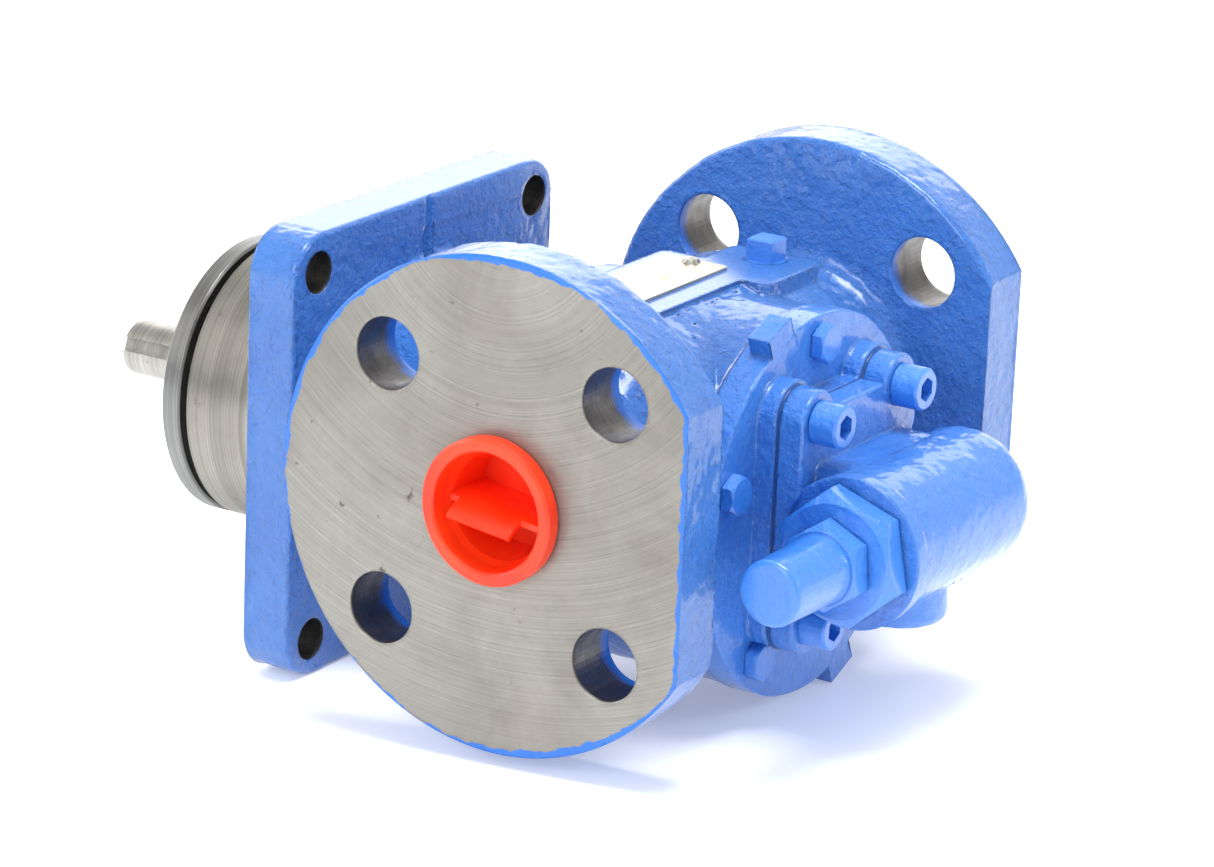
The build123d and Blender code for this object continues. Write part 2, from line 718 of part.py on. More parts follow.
def adjuster_cap():
    """Cap nut: small hexagon with a long blind barrel over the adjusting screw."""
    start = (VALVE_X, BONNET_Y - 0.5, 0)
    body = hexagon(CAP_HEX_AF, start, BONNET_Y - 0.5 - CAP_HEX_Y, (0, -1, 0), 5)
    length = BONNET_Y - 1.5 - CAP_END_Y
    shape = [(0, 0), (CAP_R + 0.5, 0), (CAP_R, length), (0, length)]
    body += turned(shape, (VALVE_X, BONNET_Y - 1.5, 0), (0, -1, 0), [(2, 1.2)])
    body -= rod(CAP_THREAD_R + FIT, (VALVE_X, BONNET_Y, 0), 11.5, (0, -1, 0))
    return body - rod(5.0, (VALVE_X, BONNET_Y, 0), 23, (0, -1, 0))


def cap_gasket():
    shape = [(6.1, -30.68), (8.2, -30.68), (8.2, -30.22), (6.1, -30.22)]
    return turned(shape, (VALVE_X, 0, 0), (0, 1, 0))


# ---------------------------------------------------------------- fittings
def gauge_plug():
    """Pipe plug with a square head, in the boss over the far port."""
    half = PLUG_SIDE / 2
    body = rod(4.55, (PLUG_X, PLUG_Y, 33), PAD_Z - 33, (0, 0, 1))
    square = block(
        PLUG_X - half, PLUG_X + half, PLUG_Y - half, PLUG_Y + half,
        PAD_Z + TOUCH, PAD_Z + PLUG_TOP,
    )
    return body + chamfer(square.faces().sort_by(Axis.Z)[-1].edges(), 0.4)


def nameplate():
    x0 = NAMEPLATE_X - NAMEPLATE_W / 2
    y0, y1 = NAMEPLATE_Y
    plate = block(x0, x0 + NAMEPLATE_W, y0, y1, PAD_Z + TOUCH, PAD_Z + 0.62)
    plate = fillet(plate.edges().filter_by(Axis.Z), 1.0)
    for y in NAMEPLATE_PIN_Y:
        plate -= rod(1.2, (NAMEPLATE_X, y, PAD_Z - 1), 3, (0, 0, 1))
    return plate


def nameplate_screws():
    pins = []
    for y in NAMEPLATE_PIN_Y:
        shape = [(0, -3.6), (1.05, -3.6), (1.05, 0.64), (2.1, 0.64), (1.5, 1.5), (0, 1.8)]
        pins.append(turned(shape, (NAMEPLATE_X, y, PAD_Z), (0, 0, 1)))
    return Compound(children=pins)


def pull_tab():
    """Web across a cap's cup: flat from the floor, then curled down into a notched tab."""
    start = PORT_REACH - 13
    flat_end = PORT_REACH - 4

    def curled(r, degrees):
        a = math.radians(degrees)
        return (flat_end + r * math.sin(a), r * math.cos(a) - TAB_CURL_R)

    outer = [curled(TAB_CURL_R, a) for a in (0, TAB_CURL / 2, TAB_CURL)]
    inner = [curled(TAB_CURL_R - WEB_T, a) for a in (TAB_CURL, TAB_CURL / 2, 0)]
    edges = [
        Line((start, 0), outer[0]), ThreePointArc(*outer), Line(outer[2], inner[0]),
        ThreePointArc(*inner), Line(inner[2], (start, -WEB_T)), Line((start, -WEB_T), (start, 0)),
    ]
    web = extrude(Plane.YZ * make_face(edges), TAB_HALF_W, both=True)
    notches = block(-20, -6.4, PORT_REACH - 0.4, PORT_REACH + 9, -9, 1)
    notches += block(9.2, 20, PORT_REACH - 0.4, PORT_REACH + 9, -9, 1)
    return web - notches


def port_cap(side):
    """Moulded plug for a port: proud lip, cup in the bore and a notched pull tab."""
    face = PORT_REACH
    shape = [
        (0, face - 13.5), (12.0, face - 13.5), (12.55, face - 1.0), (12.65, face + 0.05),
        (LIP_R - 0.5, face + 0.05), (LIP_R, face + 0.6), (LIP_R, LIP_Y - 0.6),
        (LIP_R - 0.6, LIP_Y), (13.5, LIP_Y), (13.0, LIP_Y - 0.5), (12.3, face + 0.2),
        (11.6, face - 1.5), (11.1, face - 12.4), (0, face - 12.4),
    ]
    body = turned(shape, (PORT_X, 0, PORT_Z), (0, side, 0))
    turn = Rot(0, 0, 90 - 90 * side)
    return body + Pos(PORT_X, 0, PORT_Z) * (Rot(0, WEB_TILT, 0) * (turn * pull_tab()))


PIECES = {
    "pump_casing": pump_casing(),
    "bearing_carrier": bearing_carrier(),
    "carrier_setscrews": carrier_setscrews(),
    "bearing_cover": bearing_cover(),
    "cover_screws": cover_screws(),
    "seal_case": seal_case(),
    "seal_lip": seal_lip(),
    "bearing_outer_race": bearing_race(14.6, BEARING_R - 0.01),
    "bearing_inner_race": bearing_race(JOURNAL_R + TOUCH, 10.4),
    "bearing_balls": bearing_balls(),
    "bearing_cage": bearing_cage(),
    "drive_shaft": drive_shaft(),
    "shaft_ring": shaft_ring(),
    "seal_seat": seal_seat(),
    "seal_seat_boot": seal_seat_boot(),
    "seal_face": seal_face(),
    "seal_bellows": seal_bellows(),
    "seal_spring": seal_spring(),
    "seal_collar": seal_collar(),
    "shaft_bushing": shaft_bushing(),
    "rotor": rotor(),
    "rotor_key": rotor_key(),
    "idler_gear": idler_gear(),
    "idler_bushing": idler_bushing(),
    "idler_pin": idler_pin(),
    "head": head(),
    "head_gasket": head_gasket(),
    "head_bolts": head_bolts(),
    "valve_gasket": valve_gasket(),
    "valve_body": valve_body(),
    "valve_screws": valve_screws(),
    "valve_poppet": valve_poppet(),
    "relief_spring": relief_spring(),
    "spring_guide": spring_guide(),
    "adjusting_screw": adjusting_screw(),
    "bonnet": bonnet(),
    "bonnet_gasket": bonnet_gasket(),
    "adjuster_cap": adjuster_cap(),
    "cap_gasket": cap_gasket(),
    "gauge_plug": gauge_plug(),
    "nameplate": nameplate(),
    "nameplate_screws": nameplate_screws(),
    "port_cap_front": port_cap(-1),
    "port_cap_rear": port_cap(1),
}

for name, piece in PIECES.items():
    export_step(piece, f"parts/{name}.step")
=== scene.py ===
import math

import bmesh
import bpy
import numpy as np
from mathutils import Matrix, Vector


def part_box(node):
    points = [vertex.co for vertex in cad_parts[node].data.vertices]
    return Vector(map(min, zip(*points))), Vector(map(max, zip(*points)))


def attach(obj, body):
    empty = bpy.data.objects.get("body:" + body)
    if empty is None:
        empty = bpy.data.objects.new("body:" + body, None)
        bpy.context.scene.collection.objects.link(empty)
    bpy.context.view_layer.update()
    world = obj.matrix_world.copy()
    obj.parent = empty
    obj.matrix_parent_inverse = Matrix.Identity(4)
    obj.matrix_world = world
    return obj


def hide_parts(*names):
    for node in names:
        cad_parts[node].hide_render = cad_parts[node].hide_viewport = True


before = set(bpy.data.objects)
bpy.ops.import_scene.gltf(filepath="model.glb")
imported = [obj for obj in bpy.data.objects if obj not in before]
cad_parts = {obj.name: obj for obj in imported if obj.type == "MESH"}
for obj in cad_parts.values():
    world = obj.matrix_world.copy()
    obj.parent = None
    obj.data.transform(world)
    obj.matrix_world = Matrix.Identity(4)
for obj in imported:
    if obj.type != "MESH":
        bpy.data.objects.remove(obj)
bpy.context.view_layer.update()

# The pump's own measures, in metres, taken from the frame.
MM = 0.001
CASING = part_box("pump_casing")
PORT_Y = -CASING[0].y
PORT_X = sum(c.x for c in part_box("port_cap_front")) / 2
PORT_Z = sum(c.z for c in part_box("port_cap_front")) / 2
FLANGE_R = CASING[1].z - PORT_Z
FLANGE_T = 14.0 * MM
BOLT_HOLE_R = 8.13 * MM
BOLT_PCD_R = 39.7 * MM
PORT_BORE_R = 12.7 * MM
PLATE_T = 12.1 * MM
PLATE_HOLE_SPAN = 84.4 * MM
PLATE_HOLE_R = 4.76 * MM
PAD_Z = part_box("nameplate")[0].z - 0.02 * MM
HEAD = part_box("head")
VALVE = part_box("valve_body")
PILOT_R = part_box("bearing_carrier")[1].z
BARREL_END_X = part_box("head_gasket")[0].x
HEAD_BOLT_R = 36.5 * MM
VALVE_AXIS_X = sum(c.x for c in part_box("bonnet_gasket")) / 2


# ---------------------------------------------------------------- shader building
class Look:
    """A node material around one Principled shader, fed by object-space coordinates."""

    def __init__(self, name):
        self.mat = bpy.data.materials.new(name)
        self.mat.use_nodes = True
        self.tree = self.mat.node_tree
        self.tree.nodes.clear()
        self.out = self.tree.nodes.new("ShaderNodeOutputMaterial")
        self.shader = self.tree.nodes.new("ShaderNodeBsdfPrincipled")
        self.tree.links.new(self.shader.outputs[0], self.out.inputs["Surface"])
        self.place = self.node("TexCoord").outputs["Object"]

    def node(self, kind, inputs=None, **props):
        made = self.tree.nodes.new("ShaderNode" + kind)
        for key, value in props.items():
            setattr(made, key, value)
        for key, value in (inputs or {}).items():
            self.put(made.inputs[key], value)
        return made

    def put(self, socket, value):
        if isinstance(value, bpy.types.NodeSocket):
            self.tree.links.new(value, socket)
        else:
            socket.default_value = value

    def set(self, **values):
        """Set sockets of the Principled shader; underscores stand for spaces."""
        for key, value in values.items():
            self.put(self.shader.inputs[key.replace("_", " ")], value)

    def math(self, operation, a, b=0.0, clamp=False):
        made = self.node("Math", {0: a, 1: b}, operation=operation, use_clamp=clamp)
        return made.outputs[0]

    def noise(self, scale, detail=3.0, rough=0.5, distortion=0.0, vector=None):
        made = self.node("TexNoise", {
            "Vector": vector or self.place, "Scale": scale, "Detail": detail,
            "Roughness": rough, "Distortion": distortion,
        })
        return made.outputs["Fac"]

    def span(self, value, low, high, to_low=0.0, to_high=1.0):
        """Map value from low..high to to_low..to_high, held at the ends."""
        made = self.node("MapRange", {0: value, 1: low, 2: high, 3: to_low, 4: to_high})
        return made.outputs[0]

    def mix(self, factor, a, b):
        made = self.node("Mix", data_type="RGBA")
        self.put(made.inputs[0], factor)
        self.put(made.inputs[6], a)
        self.put(made.inputs[7], b)
        return made.outputs[2]

    def stretch(self, scale):
        made = self.node("Mapping", {"Vector": self.place, "Scale": scale})
        return made.outputs["Vector"]

    def parts(self, vector=None):
        made = self.node("SeparateXYZ", {0: vector or self.place})
        return made.outputs[0], made.outputs[1], made.outputs[2]

    def edge(self, radius, samples=4):
        """1 on sharp edges and 0 on flat faces, from a rounded copy of the normal."""
        soft = self.node("Bevel", {"Radius": radius}, samples=samples).outputs[0]
        true = self.node("NewGeometry").outputs["Normal"]
        both = self.node("VectorMath", {0: soft, 1: true}, operation="DOT_PRODUCT")
        return self.span(both.outputs["Value"], 0.97, 0.80)

    def bump(self, heights, normal=None):
        """Chain of bumps from (height, strength, distance) and the rounded edges."""
        for height, strength, distance in heights:
            inputs = {"Height": height, "Strength": strength, "Distance": distance}
            if normal is not None:
                inputs["Normal"] = normal
            normal = self.node("Bump", inputs).outputs[0]
        self.put(self.shader.inputs["Normal"], normal)

    def rounded(self, radius, samples=4):
        return self.node("Bevel", {"Radius": radius}, samples=samples).outputs[0]


def rgb(r, g, b):
    """Linear colour from 0-255 display values."""
    def line(c):
        c /= 255
        return c / 12.92 if c <= 0.04045 else ((c + 0.055) / 1.055) ** 2.4
    return (line(r), line(g), line(b), 1.0)


BLUE = rgb(44, 120, 214)
BLUE_PALE = rgb(56, 131, 224)
BLUE_DEEP = rgb(32, 102, 200)
BLUE_SEAM = rgb(16, 40, 96)
BARE = rgb(120, 104, 84)
GRIME = rgb(52, 50, 40)


def painted(name, grain=1.0, rounding=0.5 * MM, wear=1.0, tint=None):
    """Blue gloss enamel over iron: grain is how much casting texture shows through."""
    look = Look(name)
    broad = look.noise(38, 3, 0.55)
    blotch = look.noise(150, 4, 0.6)
    tone = look.mix(look.span(broad, 0.35, 0.68), BLUE, BLUE_PALE)
    tone = look.mix(look.span(blotch, 0.52, 0.72, 0, 0.45), tone, BLUE_DEEP)
    if tint:
        tone = look.mix(0.8, tone, tint)
    chips = look.math("MULTIPLY", look.edge(0.9 * MM), look.span(look.noise(240, 5, 0.62), 0.60, 0.64))
    chips = look.math("MULTIPLY", chips, look.span(look.noise(33, 1), 0.50, 0.57))
    chips = look.math("MULTIPLY", chips, wear)
    scuff = look.span(look.noise(95, 8, 0.72, 0.4), 0.71, 0.74, 0, 0.6 * wear)
    flaw = look.math("MAXIMUM", chips, scuff)
    tone = look.mix(flaw, tone, look.mix(look.noise(500, 2), BARE, GRIME))
    look.set(Base_Color=tone, IOR=1.5, Coat_Weight=1.0, Coat_Roughness=0.14)
    gloss = look.span(look.noise(420, 3, 0.6), 0.3, 0.7, 0.3, 0.46)
    look.set(Roughness=look.math("ADD", gloss, look.math("MULTIPLY", flaw, 0.3)))
    orange_peel = look.noise(1500, 2, 0.5)
    sand = look.noise(760, 5, 0.7)
    lumps = look.noise(330, 3, 0.6)
    look.bump([
        (lumps, 1.0 * grain, 2.2 * MM),
        (sand, 1.0 * grain, 1.5 * MM),
        (orange_peel, 0.3, 0.06 * MM),
        (look.math("SUBTRACT", 1.0, flaw), 0.4, 0.08 * MM),
    ], look.rounded(rounding))
    return look.mat


def milled(look, centre, tone, pitch=0.75 * MM):
    """Arc tool marks about a point in the X-Z plane, with stains; returns colour and height."""
    x, _, z = look.parts()
    dx = look.math("SUBTRACT", x, centre[0])
    dz = look.math("SUBTRACT", z, centre[1])
    radius = look.math("SQRT", look.math("ADD", look.math("MULTIPLY", dx, dx), look.math("MULTIPLY", dz, dz)))
    wobble = look.math("MULTIPLY", look.noise(30, 2), 0.35 * MM)
    track = look.math("ADD", radius, wobble)
    line = look.node("CombineXYZ", {0: track}).outputs[0]
    fine = look.noise(1.6 / pitch, 3, 0.75, vector=line)
    coarse = look.noise(0.5 / pitch, 2, 0.5, vector=line)
    marks = look.math("ADD", look.math("MULTIPLY", fine, 0.75), look.math("MULTIPLY", coarse, 0.25))
    broken = look.span(look.noise(420, 4, 0.7), 0.38, 0.62, 0.25, 1.0)
    light, dark = tone
    depth = look.math("MULTIPLY", look.math("SUBTRACT", marks, 0.5), broken)
    colour = look.mix(look.span(depth, -0.2, 0.2), dark, light)
    return colour, marks


def flange_face(name, side):
    """Machined joint face of a port flange with paint lapping over its rim."""
    look = Look(name)
    tones = (rgb(180, 178, 172), rgb(104, 101, 96))
    colour, marks = milled(look, (PORT_X - 2 * MM, PORT_Z + 67 * MM), tones)
    cloud = look.noise(24, 5, 0.6)
    colour = look.mix(look.span(cloud, 0.42, 0.7, 0, 0.5), colour, rgb(100, 93, 84))
    haze = look.noise(41, 6, 0.65, 0.5)
    colour = look.mix(look.span(haze, 0.5, 0.75, 0, 0.35), colour, rgb(176, 172, 164))
    spots = look.span(look.noise(170, 6, 0.66), 0.655, 0.70, 0, 0.8)
    colour = look.mix(spots, colour, rgb(78, 68, 57))
    smear = look.span(look.noise(60, 6, 0.7, 0.8), 0.63, 0.70, 0, 0.45)
    colour = look.mix(smear, colour, rgb(92, 86, 80))
    x, _, z = look.parts()
    dx = look.math("SUBTRACT", x, PORT_X)
    dz = look.math("SUBTRACT", z, PORT_Z)
    radius = look.math("SQRT", look.math("ADD", look.math("MULTIPLY", dx, dx), look.math("MULTIPLY", dz, dz)))
    ragged = look.math("MULTIPLY", look.math("SUBTRACT", look.noise(210, 5, 0.65), 0.5), 3.2 * MM)
    bias = look.math("MULTIPLY", look.math("SUBTRACT", look.noise(22, 1), 0.5), 5.0 * MM)
    reach = look.math("ADD", look.math("ADD", radius, ragged), bias)
    rim = look.span(reach, FLANGE_R - 0.9 * MM, FLANGE_R - 0.7 * MM)
    past = look.math("ADD", look.math("SUBTRACT", x, CASING[1].x), ragged)
    flat = look.span(past, -1.1 * MM, -0.9 * MM)
    paint = look.math("MAXIMUM", rim, flat)
    colour = look.mix(paint, colour, look.mix(look.noise(120), BLUE, BLUE_DEEP))
    look.set(Base_Color=colour, Metallic=look.math("SUBTRACT", 0.6, look.math("MULTIPLY", paint, 0.6)))
    rough = look.span(look.noise(80, 4, 0.6), 0.3, 0.75, 0.36, 0.52)
    look.set(Roughness=look.math("SUBTRACT", rough, look.math("MULTIPLY", paint, 0.12)))
    look.bump([(marks, 0.35, 0.05 * MM), (look.noise(1400, 3), 0.15, 0.03 * MM), (paint, 0.6, 0.1 * MM)])
    return look.mat


def hole_wall(name):
    """Drilled wall of a flange hole: bare metal, darkened as painted shade inside the hole, with paint blown
    in from its back.
    """
    look = Look(name)
    x, y, z = look.parts()
    rings = look.node("CombineXYZ", {0: y}).outputs[0]
    marks = look.noise(2600, 3, 0.6, vector=rings)
    # The metal tones are kept dark as painted shade inside the hole.
    colour = look.mix(look.span(marks, 0.3, 0.7), rgb(84, 82, 82), rgb(134, 131, 127))
    colour = look.mix(look.span(look.noise(140, 5, 0.6), 0.5, 0.7, 0, 0.6), colour, rgb(62, 57, 54))
    depth = look.math("SUBTRACT", look.math("ABSOLUTE", y), PORT_Y - FLANGE_T)
    spray = look.math("ADD", depth, look.math("MULTIPLY", look.noise(170, 5, 0.65), 7 * MM))
    paint = look.span(spray, 7.5 * MM, 5.0 * MM)
    colour = look.mix(paint, colour, look.mix(look.noise(100), BLUE_DEEP, BLUE))
    look.set(Base_Color=colour, Metallic=look.math("SUBTRACT", 0.85, look.math("MULTIPLY", paint, 0.85)))
    look.set(Roughness=look.span(look.noise(300, 3), 0.3, 0.7, 0.3, 0.5))
    look.bump([(marks, 0.25, 0.05 * MM), (look.noise(700, 3), 0.2, 0.05 * MM)])
    return look.mat


def turned_steel(name, light, dark, rough=(0.24, 0.42), stain=0.35, pitch=0.3 * MM, axis=0):
    """Lathe-turned steel: rings about the shaft axis, smears and faint stains."""
    look = Look(name)
    place = look.parts()
    across = [place[i] for i in range(3) if i != axis]
    square = [look.math("MULTIPLY", c, c) for c in across]
    radius = look.math("SQRT", look.math("ADD", *square))
    line = look.node("CombineXYZ", {0: place[axis], 1: radius}).outputs[0]
    fine = look.noise(1 / pitch, 4, 0.7, vector=line)
    broad = look.noise(0.12 / pitch, 3, 0.6, vector=line)
    marks = look.math("ADD", look.math("MULTIPLY", fine, 0.6), look.math("MULTIPLY", broad, 0.4))
    colour = look.mix(look.span(marks, 0.36, 0.64), dark, light)
    cloud = look.noise(45, 5, 0.62)
    colour = look.mix(look.span(cloud, 0.48, 0.74, 0, stain), colour, rgb(96, 86, 74))
    spots = look.span(look.noise(260, 5, 0.66), 0.66, 0.71, 0, stain)
    colour = look.mix(spots, colour, rgb(70, 60, 50))
    look.set(Base_Color=colour, Metallic=0.95, Anisotropic=0.45)
    smear = look.span(look.noise(75, 5, 0.6), 0.3, 0.7, rough[0], rough[1])
    look.set(Roughness=look.math("ADD", smear, look.math("MULTIPLY", fine, 0.08)))
    look.bump([(marks, 0.18, 0.03 * MM), (look.noise(1500, 2), 0.06, 0.02 * MM)], look.rounded(0.25 * MM))
    return look.mat


def plain_metal(name, light, dark, rough=(0.25, 0.45), scale=300, metallic=0.95):
    """Small machined or plated piece with mottled tone and softened edges."""
    look = Look(name)
    cloud = look.noise(scale, 4, 0.6)
    colour = look.mix(look.span(cloud, 0.35, 0.65), dark, light)
    worn = look.math("MULTIPLY", look.edge(0.3 * MM), look.span(look.noise(scale * 2, 3), 0.4, 0.6, 0.2, 0.8))
    pale = tuple(min(1.0, c * 1.35) for c in light[:3]) + (1.0,)
    colour = look.mix(worn, colour, pale)
    look.set(Base_Color=colour, Metallic=metallic)
    look.set(Roughness=look.span(look.noise(scale * 1.7, 3), 0.3, 0.7, rough[0], rough[1]))
    grit = look.noise(scale * 5, 3, 0.6)
    look.bump([(grit, 0.12, 0.03 * MM)], look.rounded(0.2 * MM))
    return look.mat


def soft_sheet(name, light, dark, rough=(0.55, 0.8), scale=700, bump=0.4):
    """Rubber, fibre gasket, carbon or ceramic: matt, with a fine grain."""
    look = Look(name)
    cloud = look.noise(scale * 0.2, 4, 0.6)
    fibre = look.noise(scale, 5, 0.7)
    tone = look.math("ADD", look.math("MULTIPLY", cloud, 0.6), look.math("MULTIPLY", fibre, 0.4))
    look.set(Base_Color=look.mix(look.span(tone, 0.35, 0.65), dark, light))
    look.set(Roughness=look.span(fibre, 0.3, 0.7, rough[0], rough[1]))
    look.bump([(fibre, bump, 0.05 * MM)], look.rounded(0.15 * MM))
    return look.mat


def plate_metal(name):
    """Rolled aluminium sheet: straight grain along its length, fine scratches, dulled edges."""
    look = Look(name)
    grain = look.noise(1.0, 4, 0.7, vector=look.stretch((3800, 130, 900)))
    scratch = look.noise(1.0, 2, 0.5, 0.3, vector=look.stretch((500, 1700, 500)))
    colour = look.mix(look.span(grain, 0.3, 0.7), rgb(176, 170, 152), rgb(214, 208, 192))
    colour = look.mix(look.span(look.noise(130, 5, 0.65), 0.54, 0.72, 0, 0.5), colour, rgb(140, 130, 108))
    look.set(Base_Color=colour, Metallic=0.9, Anisotropic=0.5)
    look.set(Roughness=look.span(grain, 0.3, 0.7, 0.26, 0.42))
    look.bump([(grain, 0.15, 0.02 * MM), (scratch, 0.08, 0.02 * MM)], look.rounded(0.15 * MM))
    return look.mat


def moulded_plastic(name):
    """Vermilion moulded polyethylene: slightly translucent, satin, with faint flow marks and a painted
    highlight on its edges.
    """
    look = Look(name)
    flow = look.noise(55, 3, 0.5, 0.6)
    colour = look.mix(look.span(flow, 0.35, 0.65), rgb(246, 48, 12), rgb(252, 66, 22))
    # Edges lightened towards pale orange: a painted highlight on the cap's lip, broken up by noise.
    edge_highlight = look.math("MULTIPLY", look.edge(0.35 * MM), look.span(look.noise(330, 4), 0.42, 0.62, 0.1, 0.5))
    colour = look.mix(edge_highlight, colour, rgb(250, 112, 78))
    look.set(Base_Color=colour, IOR=1.5, Subsurface_Weight=0.22, Subsurface_Scale=1.0 * MM)
    look.set(Subsurface_Radius=(1.0, 0.25, 0.1))
    look.set(Roughness=look.span(look.noise(240, 4), 0.3, 0.7, 0.3, 0.42))
    matte = look.noise(2600, 2)
    look.bump([(flow, 0.1, 0.1 * MM), (matte, 0.08, 0.03 * MM)], look.rounded(0.2 * MM))
    return look.mat


# ---------------------------------------------------------------- mesh building
def copied(node, name):
    """A welded mesh copy of a CAD node as a new object."""
    obj = bpy.data.objects.new(name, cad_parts[node].data.copy())
    bpy.context.scene.collection.objects.link(obj)
    work = bmesh.new()
    work.from_mesh(obj.data)
    bmesh.ops.remove_doubles(work, verts=work.verts, dist=0.002 * MM)
    work.to_mesh(obj.data)
    work.free()
    return obj


def refine(obj, longest, passes=7):
    """Split every edge over the given length, pass by pass, keeping triangles."""
    work = bmesh.new()
    work.from_mesh(obj.data)
    bmesh.ops.triangulate(work, faces=work.faces)
    for _ in range(passes):
        long = [e for e in work.edges if e.calc_length() > longest]
        if not long:
            break
        bmesh.ops.subdivide_edges(work, edges=long, cuts=1, use_grid_fill=False)
        bmesh.ops.triangulate(work, faces=[f for f in work.faces if len(f.verts) > 3])
    work.to_mesh(obj.data)
    work.free()


def places(mesh):
    """Vertex positions as rows."""
    flat = np.empty(len(mesh.vertices) * 3, np.float32)
    mesh.vertices.foreach_get("co", flat)
    return flat.reshape(-1, 3).astype(float)


def directions(mesh):
    """Vertex normals as rows."""
    flat = np.empty(len(mesh.vertices) * 3, np.float32)
    mesh.vertices.foreach_get("normal", flat)
    return flat.reshape(-1, 3).astype(float)


class Field:
    """Smooth seeded noise: trilinear lattice values at a given cell size."""

    def __init__(self, cell, seed):
        self.cell = cell
        self.lattice = np.random.default_rng(seed).standard_normal((48, 48, 48))

    def at(self, points):
        p = points / self.cell + 1000.0
        base = np.floor(p).astype(int)
        t = p - base
        t = t * t * (3 - 2 * t)
        total = np.zeros(len(points))
        for corner in range(8):
            step = np.array([corner & 1, corner >> 1 & 1, corner >> 2 & 1])
            weight = np.prod(np.where(step, t, 1 - t), axis=1)
            index = (base + step) % 48
            total += weight * self.lattice[index[:, 0], index[:, 1], index[:, 2]]
        return total


def cast_skin(obj, keep_flat, amount=1.0):
    """Push a casting's surface in by uneven sand texture, leaving machined places alone."""
    points = places(obj.data)
    normals = directions(obj.data)
    rough = 0.09 * Field(7.0 * MM, 11).at(points) + 0.055 * Field(2.4 * MM, 12).at(points)
    rough += 0.04 * Field(1.2 * MM, 13).at(points)
    depth = np.clip(0.14 - rough, 0.0, 0.5) * MM * amount
    depth *= 1 - keep_flat(points, normals)
    moved = points - normals * depth[:, None]
    obj.data.vertices.foreach_set("co", moved.astype(np.float32).ravel())
    obj.data.update()


def smooth_by_angle(obj, degrees=35):
    """Smooth shading with sharp edges kept where faces meet at more than the angle."""
    obj.data.shade_smooth()
    obj.data.set_sharp_from_angle(angle=math.radians(degrees))


def shade(obj, *materials):
    """Replace an object's materials."""
    obj.data.materials.clear()
    for material in materials:
        obj.data.materials.append(material)


def slot_faces(obj, choose):
    """Give each face the material number that choose(centres, normals) returns."""
    count = len(obj.data.polygons)
    centres = np.empty(count * 3, np.float32)
    normals = np.empty(count * 3, np.float32)
    obj.data.polygons.foreach_get("center", centres)
    obj.data.polygons.foreach_get("normal", normals)
    numbers = choose(centres.reshape(-1, 3).astype(float), normals.reshape(-1, 3).astype(float))
    obj.data.polygons.foreach_set("material_index", numbers.astype(np.int32))


# ---------------------------------------------------------------- castings
def near_flange_holes(points, slack):
    """1 where a point lies on the wall of a flange hole or of a port bore."""
    dx = points[:, 0] - PORT_X
    dz = points[:, 2] - PORT_Z
    inside = np.abs(points[:, 1]) > PORT_Y - FLANGE_T - 0.5 * MM
    found = np.hypot(dx, dz) < PORT_BORE_R + slack
    for k in range(4):
        a = math.radians(45 + 90 * k)
        hx, hz = BOLT_PCD_R * math.cos(a), BOLT_PCD_R * math.sin(a)
        found |= (np.hypot(dx - hx, dz - hz) < BOLT_HOLE_R + slack) & inside
    return found


def plate_hole_walls(points, slack):
    """True on the walls of the square plate's four bolt holes."""
    half = PLATE_HOLE_SPAN / 2
    away = np.hypot(np.abs(points[:, 1]) - half, np.abs(points[:, 2]) - half)
    return (away < PLATE_HOLE_R + slack) & (points[:, 0] < PLATE_T)


def casing_faces(centres, normals):
    """0 paint, 1 and 2 flange faces, 3 flange holes, 4 bores, 5 plate holes."""
    number = np.zeros(len(centres))
    radial = np.hypot(centres[:, 1], centres[:, 2])
    port = np.hypot(centres[:, 0] - PORT_X, centres[:, 2] - PORT_Z)
    inner = (radial < PILOT_R + 0.06 * MM) & (np.abs(centres[:, 1]) < 32 * MM)
    number[inner & (centres[:, 0] < BARREL_END_X + 0.2 * MM)] = 4
    number[port < PORT_BORE_R + 0.1 * MM] = 4
    number[near_flange_holes(centres, 0.1 * MM) & (port > 20 * MM)] = 3
    number[centres[:, 1] < -PORT_Y + 0.05 * MM] = 1
    number[centres[:, 1] > PORT_Y - 0.05 * MM] = 2
    number[np.abs(centres[:, 0]) < 0.05 * MM] = 4
    number[plate_hole_walls(centres, 0.1 * MM)] = 5
    return number


def casing_flat(points, normals):
    """Machined places of the casing, which keep their true surface."""
    radial = np.hypot(points[:, 1], points[:, 2])
    flat = np.abs(points[:, 1]) > PORT_Y - 0.6 * MM
    flat |= near_flange_holes(points, 0.3 * MM)
    flat |= points[:, 0] < 0.4 * MM
    flat |= radial < PILOT_R + 0.2 * MM
    flat |= (points[:, 0] > BARREL_END_X - 0.8 * MM) & (radial < 43 * MM)
    flat |= (points[:, 2] > PAD_Z - 0.15 * MM) & (np.abs(points[:, 1]) < 40 * MM)
    flat |= plate_hole_walls(points, 0.3 * MM)
    return flat.astype(float)


def casing_piece(looks):
    """Casing with its cast skin, bare joint faces and drilled holes."""
    obj = copied("pump_casing", "casing_shell")
    refine(obj, 1.3 * MM)
    cast_skin(obj, casing_flat, 1.15)
    names = ("blue_casting", "front_face", "rear_face", "hole_wall", "bore", "plate_hole")
    shade(obj, *[looks[n] for n in names])
    slot_faces(obj, casing_faces)
    smooth_by_angle(obj, 40)
    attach(obj, "casing")
    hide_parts("pump_casing")
    return obj


def head_flat(points, normals):
    """Joint faces and bolt seats of the head, which keep their true surface."""
    flat = points[:, 0] < HEAD[0].x + 0.5 * MM
    radial = np.hypot(points[:, 1], points[:, 2])
    flat |= points[:, 0] < BARREL_END_X + 0.7 * MM
    flat |= points[:, 0] > HEAD[1].x - 0.3 * MM
    for k in range(5):
        a = math.radians(90 + 72 * k)
        y, z = HEAD_BOLT_R * math.cos(a), HEAD_BOLT_R * math.sin(a)
        away = np.hypot(points[:, 1] - y, points[:, 2] - z)
        flat |= away < 3.2 * MM
    return flat.astype(float)


